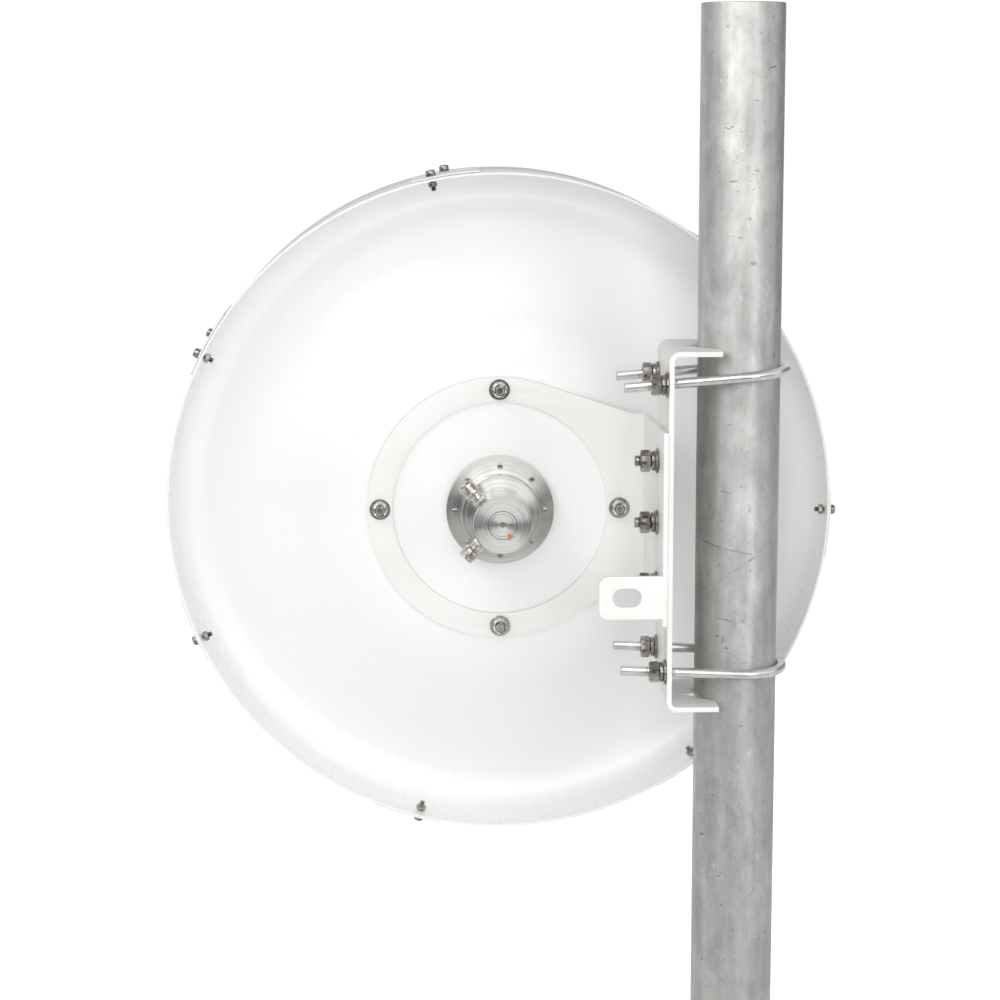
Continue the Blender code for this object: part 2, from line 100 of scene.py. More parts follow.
# ---------------------------------------------------------------- modelling by hand
def deselect():
    if bpy.context.object and bpy.context.object.mode != "OBJECT":
        bpy.ops.object.mode_set(mode="OBJECT")
    bpy.ops.object.select_all(action="DESELECT")


def pick(*objs):
    deselect()
    for obj in objs:
        obj.select_set(True)
    bpy.context.view_layer.objects.active = objs[0]
    return objs[0]


def edit(obj):
    pick(obj)
    bpy.ops.object.mode_set(mode="EDIT")
    bpy.ops.mesh.select_all(action="SELECT")


def start_ring(sides, radius, height=0.0):
    """An open circle at a height, left in edit mode with its edge selected."""
    deselect()
    bpy.ops.mesh.primitive_circle_add(vertices=sides, radius=radius * MM, fill_type="NOTHING", location=(0, 0, 0))
    obj = bpy.context.active_object
    bpy.ops.object.mode_set(mode="EDIT")
    bpy.ops.mesh.select_all(action="SELECT")
    if height:
        bpy.ops.transform.translate(value=(0, 0, height * MM))
    return obj


def pull(vector, scale=1.0, centre=None):
    """Extrudes the selected edge and, where it is asked, sizes the new one about a centre."""
    bpy.ops.mesh.extrude_region_move(TRANSFORM_OT_translate={"value": Vector(vector) * MM})
    if abs(scale - 1.0) > 1e-7:
        bpy.ops.transform.resize(value=(scale,) * 3, center_override=Vector(centre) * MM)


def open_section(size):
    """A square of edges with no face, left in edit mode, from which a ring or a strap is spun."""
    deselect()
    bpy.ops.mesh.primitive_plane_add(size=size, location=(0, 0, 0))
    obj = bpy.context.active_object
    bpy.ops.object.mode_set(mode="EDIT")
    bpy.ops.mesh.select_all(action="SELECT")
    bpy.ops.mesh.delete(type="ONLY_FACE")
    bpy.ops.mesh.select_all(action="SELECT")
    return obj


def cap_holes():
    bpy.ops.mesh.select_all(action="DESELECT")
    bpy.ops.mesh.select_non_manifold(extend=False)
    bpy.ops.mesh.edge_face_add()


def close_up(obj):
    """Welds the seams, turns every face outwards and leaves edit mode."""
    bpy.ops.mesh.select_all(action="SELECT")
    bpy.ops.mesh.remove_doubles(threshold=0.004 * MM)
    bpy.ops.mesh.normals_make_consistent(inside=False)
    bpy.ops.object.mode_set(mode="OBJECT")
    return obj


def turned(profile, sides=96, ring=False):
    """Lathe work: a circle's edge is extruded along (radius, height) pairs.

    A ring closes on itself, a solid gets flat ends.
    """
    obj = start_ring(sides, *profile[0])
    last_r, last_h = profile[0]
    for r, h in profile[1:] + (profile[:1] if ring else []):
        bpy.ops.mesh.extrude_region_move(TRANSFORM_OT_translate={"value": (0, 0, (h - last_h) * MM)})
        if r != last_r:
            bpy.ops.transform.resize(value=(r / last_r, r / last_r, 1), center_override=(0, 0, h * MM))
        last_r, last_h = r, h
    if not ring:
        bpy.ops.mesh.edge_face_add()
        cap_holes()
    return close_up(obj)


def smoothed(obj, angle=32.0):
    pick(obj)
    bpy.ops.object.shade_smooth_by_angle(angle=math.radians(angle))
    return obj


def applied(obj, kind, **settings):
    pick(obj)
    mod = obj.modifiers.new(kind.title(), kind)
    for key, value in settings.items():
        setattr(mod, key, value)
    bpy.ops.object.modifier_apply(modifier=mod.name)
    return obj


def eased(obj, width, segments=2, angle=40.0):
    return applied(obj, "BEVEL", width=width * MM, segments=segments, limit_method="ANGLE",
                   angle_limit=math.radians(angle), use_clamp_overlap=True)


def booled(obj, tool, how="DIFFERENCE"):
    applied(obj, "BOOLEAN", object=tool, operation=how, solver="EXACT")
    discard(tool)
    return obj


def placed(obj, matrix):
    """Puts the place into the mesh, so the object stays at the origin."""
    obj.data.transform(obj.matrix_world)
    obj.matrix_world = Matrix.Identity(4)
    obj.data.transform(matrix)
    if matrix.determinant() < 0:
        obj.data.flip_normals()
    obj.data.update()
    return obj


def joined(*objs):
    pick(*objs)
    bpy.ops.object.join()
    return bpy.context.active_object


def discard(*objs):
    for obj in objs:
        bpy.data.objects.remove(obj, do_unlink=True)


def copied(master, matrix):
    obj = bpy.data.objects.new("copy", master.data.copy())
    bpy.context.scene.collection.objects.link(obj)
    return placed(obj, matrix)


def hexagon(flats, low, high):
    deselect()
    bpy.ops.mesh.primitive_cylinder_add(vertices=6, radius=flats / math.sqrt(3) * MM, depth=(high - low) * MM,
                                        location=(0, 0, (low + high) / 2 * MM))
    return placed(bpy.context.active_object, Matrix.Identity(4))


def chamfered_hexagon(flats, low, high):
    """A forged hexagon with its corners turned off at 30 degrees."""
    corner, start = flats / math.sqrt(3) + 0.05, flats * 0.475
    drop = (corner - start) * math.tan(math.radians(30))
    barrel = [(start, high + 0.01), (corner, high - drop), (corner, low + drop), (start, low - 0.01)]
    return booled(hexagon(flats, low, high), turned(barrel, 48), "INTERSECT")


def thread(radius, pitch, low, high, depth=0.6):
    """Profile pairs of a thread's crests and roots, bottom to top."""
    pairs, h = [], low
    while h + pitch <= high:
        pairs += [(radius - depth * pitch, h), (radius, h + pitch * 0.5)]
        h += pitch
    return pairs


def softened(node, width, angle=35.0):
    """A merged copy of a CAD node with its edges rounded."""
    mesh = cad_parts[node].data.copy()
    obj = bpy.data.objects.new("copy", mesh)
    bpy.context.scene.collection.objects.link(obj)
    edit(obj)
    if mesh.has_custom_normals:
        bpy.ops.mesh.customdata_custom_splitnormals_clear()
    bpy.ops.mesh.remove_doubles(threshold=0.02 * MM)
    bpy.ops.mesh.dissolve_limited(angle_limit=math.radians(1.5))
    bpy.ops.object.mode_set(mode="OBJECT")
    return smoothed(eased(obj, width, 3, angle), 38)


# ---------------------------------------------------------------- materials
class Wire:
    """A shader socket that can be used in sums, each of which adds its Math node."""

    def __init__(self, finish, socket):
        self.finish, self.socket = finish, socket

    def _sum(self, how, a, b):
        return self.finish.node("ShaderNodeMath", {"operation": how}, {0: a, 1: b})

    def __add__(self, other):
        return self._sum("ADD", self, other)

    def __sub__(self, other):
        return self._sum("SUBTRACT", self, other)

    def __rsub__(self, other):
        return self._sum("SUBTRACT", other, self)

    def __mul__(self, other):
        return self._sum("MULTIPLY", self, other)

    def __pow__(self, other):
        return self._sum("POWER", self, other)


class Finish:
    """A procedural material with a Principled shader and the helpers that feed it."""

    def __init__(self, name, colour, metallic=0.0, roughness=0.5, **constants):
        self.material = bpy.data.materials.new(name)
        self.material.use_nodes = True
        self.tree = self.material.node_tree
        self.shader = self.tree.nodes["Principled BSDF"]
        self.feed("Base Color", (*colour, 1.0))
        self.feed("Metallic", metallic)
        self.feed("Roughness", roughness)
        for key, value in constants.items():
            self.feed(key.replace("_", " "), value)

    def node(self, kind, settings=None, values=None, out=0):
        node = self.tree.nodes.new(kind)
        for key, value in (settings or {}).items():
            if key == "stops":
                ramp = node.color_ramp
                while len(ramp.elements) < len(value):
                    ramp.elements.new(0.5)
                for element, (place, colour) in zip(ramp.elements, value):
                    element.position = place
                    element.color = colour if len(colour) == 4 else (*colour, 1.0)
            else:
                setattr(node, key, value)
        for key, value in (values or {}).items():
            self._set(node.inputs[key], value)
        return Wire(self, node.outputs[out])

    def _set(self, socket, value):
        if isinstance(value, Wire):
            self.tree.links.new(value.socket, socket)
        else:
            socket.default_value = value

    def feed(self, name, value):
        self._set(self.shader.inputs[name], value)

    def coords(self, centre=(0, 0, 0), size=(1, 1, 1)):
        """Object coordinates, moved so that centre is their origin, then sized."""
        raw = self.node("ShaderNodeTexCoord", out=3)
        moved = self.node("ShaderNodeVectorMath", {"operation": "SUBTRACT"}, {0: raw, 1: centre})
        return self.node("ShaderNodeMapping", {"vector_type": "POINT"}, {"Vector": moved, "Scale": size})

    def noise(self, where, scale, detail=3.0, rough=0.5, distortion=0.0):
        return self.node("ShaderNodeTexNoise", None, {
            "Vector": where, "Scale": scale, "Detail": detail, "Roughness": rough, "Distortion": distortion})

    def range(self, value, low, high, to_low=0.0, to_high=1.0):
        return self.node("ShaderNodeMapRange", {"clamp": True}, {
            "Value": value, "From Min": low, "From Max": high, "To Min": to_low, "To Max": to_high})

    def smooth_range(self, value, low, high):
        return self.node("ShaderNodeMapRange", {"interpolation_type": "SMOOTHSTEP"}, {
            "Value": value, "From Min": low, "From Max": high})

    def dot(self, vector, direction):
        return self.node("ShaderNodeVectorMath", {"operation": "DOT_PRODUCT"}, {0: vector, 1: direction}, 1)

    def mix(self, share, a, b):
        a = (*a, 1.0) if isinstance(a, tuple) and len(a) == 3 else a
        b = (*b, 1.0) if isinstance(b, tuple) and len(b) == 3 else b
        return self.node("ShaderNodeMix", {"data_type": "RGBA", "blend_type": "MIX", "clamp_factor": True},
                         {0: share, 6: a, 7: b}, 2)

    def parts(self, where):
        split = self.node("ShaderNodeSeparateXYZ", None, {0: where})
        return [Wire(self, out) for out in split.socket.node.outputs]

    def bump(self, height, strength, distance):
        return self.node("ShaderNodeBump", None, {"Height": height, "Strength": strength, "Distance": distance})


# The pole's scratches: both ends (x, z), half width and depth of tone.
SCRATCHES = (
    ((-33.5, 596.5), (-16.5, 590.9), 0.42, 0.8),
    ((-17.0, 591.0), (10.5, 586.3), 0.36, 0.7),
    ((-20.2, 643.0), (-7.5, 640.3), 0.45, 0.6),
    ((-9.5, 569.6), (9.5, 581.5), 0.5, 0.3),
    ((17.0, 1005.0), (27.0, 1009.0), 0.6, 0.8),
    ((-21.0, 529.0), (-6.0, 526.0), 0.5, 0.6),
)
SCRATCH_WANDER, SCRATCH_FADE = 3.0, 3.0             # the range it strays over, the length of its faded ends


def scratched(f, where):
    """The long scratches on the side of the pole that the dish's back faces."""
    x, y, z = f.parts(where)[:3]
    wander = (f.noise(where, 180, 2, 0.5) - 0.5) * (SCRATCH_WANDER * MM)
    total = 0.0
    for (x0, z0), (x1, z1), half, depth in SCRATCHES:
        away = z - (x - x0 * MM) * ((z1 - z0) / (x1 - x0)) - z0 * MM + wander
        thin = f.range((away * away) ** 0.5, half * 0.4 * MM, half * 1.5 * MM, 1.0, 0.0)
        start = f.range(x, x0 * MM, (x0 + SCRATCH_FADE) * MM)
        end = f.range(x, (x1 - SCRATCH_FADE) * MM, x1 * MM, 1.0, 0.0)
        total = thin * start * end * depth + total
    return total * f.range(y, -0.01, 0.0, 1.0, 0.0)


def galvanised():
    f = Finish("galvanised_zinc", (0.5, 0.5, 0.5), 0.9, 0.42)
    drawn = f.coords(size=(1, 1, 0.6))
    whole = f.coords()
    cloud = f.noise(drawn, 34, 6, 0.66, 0.5)
    fine = f.noise(drawn, 170, 4, 0.7, 0.8)
    spangle = f.node("ShaderNodeTexVoronoi", {"feature": "F1"}, {"Vector": drawn, "Scale": 85.0, "Randomness": 1.0}, 1)
    shade = f.parts(spangle)[0]
    runs = f.noise(f.coords(size=(1, 1, 0.09)), 75, 2, 0.5)
    tone = (f.range(cloud, 0.3, 0.7) * 0.46 + f.range(fine, 0.3, 0.7) * 0.14 + shade * 0.09
            + f.range(runs, 0.32, 0.68) * 0.26)
    small_nick = f.noise(f.coords(size=(1, 1, 1.6)), 95, 2, 0.5, 2.2)
    large_nick = f.noise(whole, 42, 3, 0.6, 3.0)
    nicks = f.range(small_nick, 0.685, 0.73) + f.range(large_nick, 0.68, 0.72) * 0.6
    splash = f.noise(f.coords(centre=(0.3, 0.1, 0.7), size=(1, 1, 0.5)), 120, 3, 0.6, 1.0)
    stops = [(0.08, (0.3, 0.304, 0.292)), (0.42, (0.44, 0.445, 0.43)), (0.85, (0.63, 0.635, 0.615))]
    base = f.node("ShaderNodeValToRGB", {"stops": stops}, {0: tone})
    marked = f.mix(scratched(f, whole), f.mix(nicks * 0.55, base, (0.13, 0.135, 0.13)), (0.1, 0.1, 0.09))
    f.feed("Base Color", f.mix(f.range(splash, 0.66, 0.74) * 0.5, marked, (0.72, 0.73, 0.71)))
    f.feed("Metallic", f.range(cloud, 0.3, 0.7, 0.72, 0.95))
    f.feed("Roughness", f.range(fine, 0.3, 0.7, 0.36, 0.52) + nicks * 0.1)
    f.feed("Normal", f.bump(tone * 0.7 + fine * 0.3 - nicks * 0.5, 0.35, 0.0006))
    return f.material


def powder_coat():
    f = Finish("white_powder_coat", (0.84, 0.84, 0.82), 0.0, 0.38)
    where = f.coords()
    peel = f.noise(where, 900, 2, 0.5)
    cloud = f.noise(where, 14, 4, 0.55)
    dust = f.range(f.noise(where, 420, 3, 0.6), 0.70, 0.76)
    base = f.mix(f.range(cloud, 0.35, 0.65), (0.83, 0.83, 0.805), (0.865, 0.865, 0.85))
    f.feed("Base Color", f.mix(dust * 0.25, base, (0.6, 0.6, 0.56)))
    f.feed("Roughness", f.range(cloud, 0.3, 0.7, 0.33, 0.46))
    f.feed("Normal", f.bump(peel, 0.16, 0.0002))
    return f.material


def gloss_shell():
    f = Finish("white_gloss_coat", (0.9, 0.9, 0.895), 0.0, 0.28, Coat_Weight=0.2, Coat_Roughness=0.12)
    where = f.coords()
    cloud = f.noise(where, 5, 2, 0.5)
    peel = f.noise(where, 420, 2, 0.5)
    f.feed("Base Color", f.mix(cloud, (0.9, 0.9, 0.895), (0.915, 0.915, 0.91)))
    f.feed("Roughness", f.range(peel, 0.3, 0.7, 0.27, 0.3))
    f.feed("Normal", f.bump(peel, 0.05, 0.0001))
    return f.material


def radome_skin():
    f = Finish("radome_moulding", (0.84, 0.84, 0.825), 0.0, 0.45)
    where = f.coords()
    grain = f.noise(where, 1400, 2, 0.6)
    cloud = f.noise(where, 6, 4, 0.6)
    rain = f.noise(f.coords(size=(1, 1, 0.08)), 55, 3, 0.6)
    base = f.mix(f.range(cloud, 0.35, 0.65), (0.82, 0.82, 0.8), (0.86, 0.86, 0.85))
    f.feed("Base Color", f.mix(f.range(rain, 0.58, 0.75) * 0.14, base, (0.6, 0.6, 0.56)))
    f.feed("Roughness", f.range(cloud, 0.3, 0.7, 0.4, 0.52))
    f.feed("Normal", f.bump(grain, 0.12, 0.0002))
    return f.material


def stainless(name="stainless_hardware", dark=(0.2, 0.185, 0.165), light=(0.46, 0.44, 0.41)):
    f = Finish(name, (0.6, 0.585, 0.56), 1.0, 0.28)
    where = f.coords()
    stain = f.noise(where, 160, 4, 0.6, 0.5)
    rub = f.noise(f.coords(size=(1, 1, 9)), 700, 2, 0.5)
    base = f.mix(f.range(stain, 0.35, 0.65), dark, light)
    f.feed("Base Color", f.mix(f.range(stain, 0.66, 0.76) * 0.4, base, tuple(c * 0.85 for c in dark)))
    f.feed("Roughness", f.range(rub, 0.3, 0.7, 0.14, 0.26))
    f.feed("Normal", f.bump(rub, 0.12, 0.0002))
    return f.material


def bright_rod():
    f = Finish("bright_zinc_rod", (0.74, 0.74, 0.73), 1.0, 0.24)
    drawn = f.coords(size=(0.12, 1, 1))
    line = f.noise(drawn, 900, 2, 0.5)
    cloud = f.noise(f.coords(), 70, 4, 0.6)
    base = f.mix(f.range(cloud, 0.35, 0.65), (0.66, 0.66, 0.645), (0.8, 0.8, 0.79))
    f.feed("Base Color", f.mix(f.range(cloud, 0.68, 0.78) * 0.3, base, (0.4, 0.38, 0.34)))
    f.feed("Roughness", f.range(line, 0.3, 0.7, 0.18, 0.28))
    f.feed("Normal", f.bump(line, 0.08, 0.0002))
    return f.material


def turned_metal():
    """Lathe-turned aluminium with faint rings about the dish axis; the deeper rings are in the mesh."""
    f = Finish("turned_aluminium_rings", (0.74, 0.75, 0.755), 1.0, 0.22)
    x, _, z = f.parts(f.coords(centre=(DISH_X * MM, 0, DISH_Z * MM)))[:3]
    radius = (x * x + z * z) ** 0.5
    bands = f.node("ShaderNodeTexNoise", {"noise_dimensions": "1D"}, {
        "W": radius, "Scale": 420.0, "Detail": 2.0, "Roughness": 0.5})
    cloud = f.noise(f.coords(), 60, 3, 0.5)
    base = f.mix(f.range(bands, 0.3, 0.7), (0.63, 0.632, 0.612), (0.71, 0.712, 0.692))
    f.feed("Base Color", f.mix(f.range(cloud, 0.6, 0.8) * 0.2, base, (0.56, 0.56, 0.55)))
    f.feed("Roughness", f.range(bands, 0.3, 0.7, 0.17, 0.23))
    f.feed("Normal", f.bump(bands, 0.1, 0.0001))
    return f.material


def nickel():
    f = Finish("nickel_plate", (0.68, 0.63, 0.56), 1.0, 0.16)
    cloud = f.noise(f.coords(), 220, 3, 0.6)
    fine = f.noise(f.coords(), 1500, 2, 0.5)
    f.feed("Base Color", f.mix(f.range(cloud, 0.35, 0.65), (0.5, 0.455, 0.395), (0.77, 0.74, 0.69)))
    f.feed("Roughness", f.range(fine, 0.3, 0.7, 0.11, 0.22))
    f.feed("Normal", f.bump(fine, 0.06, 0.0001))
    return f.material


def small_finish(name, colour, rough, metallic=0.0):
    """A plain moulded or painted finish with a little unevenness."""
    f = Finish(name, colour, metallic, rough)
    grain = f.noise(f.coords(), 900, 3, 0.6)
    dark = tuple(c * 0.88 for c in colour)
    f.feed("Base Color", f.mix(f.range(grain, 0.3, 0.7), dark, colour))
    f.feed("Roughness", f.range(grain, 0.3, 0.7, rough * 0.85, min(1.0, rough * 1.15)))
    f.feed("Normal", f.bump(grain, 0.1, 0.0001))
    return f.material


SURFACES = {
    "galvanised": galvanised(),
    "white_sheet": powder_coat(),
    "white_shell": gloss_shell(),
    "radome_plastic": radome_skin(),
    "stainless": stainless(),
    "bright_zinc": bright_rod(),
    "turned_aluminium": turned_metal(),
    "nickel": nickel(),
}
INSULATOR = small_finish("white_insulator", (0.78, 0.77, 0.74), 0.4)
GOLD = small_finish("gilt_contact", (0.8, 0.6, 0.25), 0.2, 1.0)
CLEAN_HARDWARE = stainless("clean_stainless_hardware", (0.42, 0.41, 0.385), (0.68, 0.67, 0.64))
MARKER = small_finish("orange_marker", (0.62, 0.2, 0.12), 0.5)


def dress(obj, name, slot, body, nodes=(), material=None):
    """Names a finished piece, gives it its material and hangs it on its body."""
    obj.name = name
    obj.data.name = name
    obj.data.materials.clear()
    obj.data.materials.append(material or SURFACES[slot])
    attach(obj, body)
    if nodes:
        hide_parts(*([nodes] if isinstance(nodes, str) else nodes))
    return obj


# ---------------------------------------------------------------- pole
def make_pole():
    r, bore, top = POLE_R, POLE_BORE, POLE_TOP
    tube = turned([(bore, FOOT_TOP), (bore, top - 0.9), (bore + 0.9, top), (r - 1.3, top), (r - 0.4, top - 0.35),
                   (r, top - 1.2), (r, FOOT_TOP)], 144, ring=True)
    dress(smoothed(tube, 40), "pole_tube", "galvanised", "mast", "pole")
    plate = turned([(0.5, 0), (88.4, 0), (89.5, 0.4), (90, 1.3), (90, 8.7), (89.6, 9.6), (88.6, 10), (0.5, 10)], 96)
    for k in range(4):
        a = math.radians(45 + 90 * k)
        hole = turned([(8.0, -1), (8.0, 0.01), (7.0, 1.0), (7.0, 9.0), (8.0, 9.99), (8.0, 11)], 40)
        booled(plate, placed(hole, shifted(66 * math.cos(a), 66 * math.sin(a), 0)))
    dress(smoothed(plate, 32), "foot_plate", "galvanised", "mast")
    weld = turned([(r - 0.5, 9.8), (r + 5.6, 9.8), (r + 4.4, 11.6), (r + 2.6, 13.4), (r + 1.0, 15.2),
                   (r - 0.5, 15.8)], 160, ring=True)
    for v in weld.data.vertices:                  # the ripple that a torch leaves
        a = math.atan2(v.co.y, v.co.x)
        out = math.hypot(v.co.x, v.co.y) - r * MM
        if out > 0:
            k = 1 + 0.006 * math.sin(a * 74) + 0.004 * math.sin(a * 31 + 1.3)
            v.co.x *= k
            v.co.y *= k
    dress(smoothed(weld, 50), "foot_weld", "galvanised", "mast")


# ---------------------------------------------------------------- fasteners
def flat_washer(bore, outer, thick):
    e = 0.25                                        # its broken edges
    return smoothed(turned([(bore, 0.0), (outer - e, 0.0), (outer, e), (outer, thick - e), (outer - e, thick),
                            (bore, thick)], 48, ring=True))


def spring_washer(bore, outer, low, thick):
    """A split ring of square wire, its ends a little apart in height."""
    mid, half = (bore + outer) / 2, (outer - bore) / 2
    obj = open_section(2.0)
    bpy.ops.transform.resize(value=(half * MM, thick / 2 * MM, 1))
    bpy.ops.transform.rotate(value=math.radians(90), orient_axis="X", center_override=(0, 0, 0))
    bpy.ops.transform.translate(value=(mid * MM, 0, (low + thick / 2) * MM))
    bpy.ops.mesh.spin(steps=44, angle=math.radians(348), center=(0, 0, 0), axis=(0, 0, 1))
    cap_holes()
    close_up(obj)
    placed(obj, Matrix.Identity(4))
    for v in obj.data.vertices:                     # one end rises above the other
        a = math.atan2(v.co.y, v.co.x) % (2 * math.pi)
        v.co.z += 0.55 * MM * (a / (2 * math.pi) - 0.5)
    return smoothed(eased(obj, 0.22, 2), 35)


def hex_nut(flats, low, height, bore):
    top, wide = low + height, bore + 0.9
    nut = chamfered_hexagon(flats, low, top)
    tool = turned([(wide, low - 0.5), (wide, low + 0.01), (bore, low + 0.9), (bore, top - 0.9), (wide, top - 0.01),
                   (wide, top + 0.5)], 40)
    return smoothed(eased(booled(nut, tool), 0.12, 2, 25), 30)


def nut_stack(rod, seat, top, bore):
    """Flat washer, spring washer and nut, joined, standing on Z = 0; the nut runs from seat to top."""
    return joined(flat_washer(bore, 11.0, 2.1), spring_washer(rod + 0.35, 9.0, 2.5, 3.0),
                  hex_nut(NUT_FLATS, seat, top - seat, rod + 0.1))


def stud(radius, pitch, low, high, plain=None):
    """A threaded rod with chamfered end, bare up to plain where that is given."""
    pairs = [(radius - 0.1, low)] if plain is None else [(radius, low), (radius, plain), (radius - 0.5, plain + 0.4)]
    pairs += thread(radius, pitch, (low if plain is None else plain) + 0.6, high - 1.4)
    pairs += [(radius - 0.2, high - 1.1), (radius - 1.0, high)]
    return smoothed(turned(pairs, 24), 28)


def make_fasteners():
    small = nut_stack(U_ROD, 6.0, 14.7, U_ROD + 0.8)
    for k, height in enumerate(("upper", "lower")):
        drop = 7.5 * math.tan(math.radians(U_SLOPES[k]))
        for side, y, twist in (("near", -U_HALF, -14), ("far", U_HALF, 9)):
            node = "u_bolt_nut_%s_%s" % (height, side)
            at = leftward(y, U_HEIGHTS[k] + y * math.tan(math.radians(U_ROLLS[k])) - drop, WEB_FACE - GAP)
            turn = spun(math.radians(twist + 8 * k))
            dress(copied(small, at @ turn), node + "_set", "stainless", "clamp", node)
    discard(small)

    large = nut_stack(5.0, 6.4, 15.6, 5.3)
    shank = stud(5.0, 1.5, 0.6, 91.3 + WEB_BACK + GAP, plain=12.0)
    head = turned([(4.95, 0.8), (4.95, -0.02), (9.8, -0.02), (10.0, -0.2), (9.9, -0.6), (8.8, -1.7), (7.3, -2.5),
                   (5.5, -3.1), (3.0, -3.45), (0.8, -3.6)], 48)
    bolt = joined(shank, smoothed(head, 40))
    rows = (("pivot_bolt", "bracket_nut_middle", 0, 0), ("slot_bolt_upper", "bracket_nut_upper", 1, 3),
            ("slot_bolt_lower", "bracket_nut_lower", -1, -4))
    for name, nut, k, twist in rows:
        z, turn = PIVOT_Z + k * BOLT_PITCH, spun(math.radians(twist))
        dress(copied(large, leftward(0, z, FLANGE_FACE - GAP) @ turn), nut + "_set", "stainless", "clamp", nut)
        dress(copied(bolt, leftward(0, z, WEB_BACK + GAP) @ turn), name + "_threaded", "stainless", "clamp", name)
    discard(large, bolt)

    ring = joined(flat_washer(4.4, 9.8, 1.9), spring_washer(4.4, 7.2, 2.1, 1.6), hex_nut(13.0, 3.9, 4.6, 4.1),
                  stud(4.0, 1.25, -12.3, 10.9))
    for k, (name, twist) in enumerate((("right", 11), ("top", 28), ("left", 5), ("bottom", 41))):
        at = on_circle(RING_CIRCLE, k * math.pi / 2, RING_FACE - GAP) @ spun(math.radians(twist))
        dress(copied(ring, at), "ring_bolt_%s_set" % name, "stainless", "dish", "ring_bolt_" + name, CLEAN_HARDWARE)
    discard(ring)


def make_u_bolts():
    for k, name in enumerate(("upper", "lower")):
        z, slope, roll, end = U_HEIGHTS[k], math.radians(U_SLOPES[k]), math.radians(U_ROLLS[k]), U_ENDS[k]
        bend = WEB_FACE + (POLE_R + GAP - WEB_FACE) / math.cos(slope) + U_ROD - U_HALF
        obj = start_ring(24, U_ROD - 1.0)
        bpy.ops.transform.rotate(value=math.radians(-90), orient_axis="Y", center_override=(0, 0, 0))
        bpy.ops.transform.translate(value=Vector((end, -U_HALF, 0)) * MM)
        at, size, plain = end, U_ROD - 1.0, -56.0       # the thread ends at plain
        steps = [(end + 1.0, U_ROD - 0.1)] + [(end + h, r) for r, h in thread(U_ROD, 1.5, 1.6, plain - end, 0.2)]
        steps += [(plain + 0.6, U_ROD), (bend, U_ROD)]
        for x, r in steps:
            pull((x - at, 0, 0), r / size, (x, -U_HALF, 0))
            at, size = x, r
        bpy.ops.mesh.spin(steps=40, angle=-math.pi, center=Vector((bend, 0, 0)) * MM, axis=(0, 0, 1))
        for x, r in steps[::-1][1:] + [(end, U_ROD - 1.0)]:
            pull((x - at, 0, 0), r / size, (x, U_HALF, 0))
            at, size = x, r
        cap_holes()
        close_up(obj)
        lean = (shifted(WEB_FACE, 0, z) @ Matrix.Rotation(-slope, 4, "Y") @ Matrix.Rotation(roll, 4, "X")
                @ shifted(-WEB_FACE, 0, 0))
        dress(placed(smoothed(obj, 30), lean), "u_bolt_%s_rod" % name, "bright_zinc", "clamp", "u_bolt_" + name)


# ---------------------------------------------------------------- sheet metal
def make_sheets():
    dress(softened("clamp_channel", 0.9), "clamp_channel_pressed", "white_sheet", "clamp", "clamp_channel")
    dress(softened("dish_bracket", 0.9), "dish_bracket_pressed", "white_sheet", "dish", "dish_bracket")


# ---------------------------------------------------------------- dish
def arc_pairs(cr, ch, radius, a0, a1, steps):
    turns = [math.radians(a0 + (a1 - a0) * i / steps) for i in range(steps + 1)]
    return [(cr + radius * math.cos(a), ch + radius * math.sin(a)) for a in turns]


def reflector_line():
    """Rear face of the spun shell: flat middle, paraboloid, round gutter and turned-back lip."""
    back, flat_r, bowl_end, focal = 136.3, 126.0, 280.0, 200.0
    line = [(23.0, back), (60.0, back), (90.0, back), (flat_r - 10, back)]
    for i in range(1, 25):
        r = flat_r - 10 + (bowl_end - flat_r + 10) * i / 24
        u = max(0.0, r - flat_r + 6) / (bowl_end - flat_r)
        rise = (max(r, flat_r) ** 2 - flat_r ** 2) / (4 * focal) * min(1.0, 0.62 + 0.38 * min(1.0, u / 0.43))
        line.append((r, back + rise + 0.5 * min(1.0, u * 8)))
    (ra, ha), (rb, hb) = line[-2:]
    slope = math.atan2(hb - ha, rb - ra)
    inner = RIM_R - SHELL
    rg = (inner - rb) / (1 + math.sin(slope))
    line += arc_pairs(inner - rg, hb - rg * math.cos(slope), rg, 90 + math.degrees(slope), 0, 20)[1:]
    return line + [(inner, 160.0), (inner, LIP_Y + 0.6), (inner + 0.6, LIP_Y)]


def make_reflector():
    line, other = reflector_line(), []
    for i, (r, h) in enumerate(line[:-3]):
        a, b = line[max(i - 1, 0)], line[i + 1]
        dr, dh = b[0] - a[0], b[1] - a[1]
        n = math.hypot(dr, dh)
        other.append((r - dh / n * SHELL, h + dr / n * SHELL))
    other = other[:-1] + [(RIM_R, 160.0), (RIM_R, LIP_Y + 0.6), (RIM_R - 0.6, LIP_Y)]
    obj = turned(line + other[::-1], 224, ring=True)
    dress(placed(smoothed(obj, 40), DISH), "reflector_spun", "white_shell", "dish", "reflector")


def make_radome():
    t, outer, y0, y1, crown = SKIN, RIM_R, 212.0, 300.0, 18.0
    edge = outer - 6
    dome = [(max(edge * i / 14, 1.0), y1 + crown * (1 - (i / 14) ** 2)) for i in range(15)]
    skin = dome[:-1] + arc_pairs(edge, y1 - 6, 6, 84, 0, 8)
    skin += [(outer, y0 + 0.6), (outer - 0.6, y0), (outer - t + 0.4, y0), (outer - t, y0 + 0.5)]
    inside = arc_pairs(edge, y1 - 6, 6 - t, 0, 84, 6) + [(r, h - t) for r, h in dome[:-1][::-1]]
    obj = turned(skin + inside, 224)
    dress(placed(smoothed(obj, 40), DISH), "radome_cover", "radome_plastic", "dish", "radome")


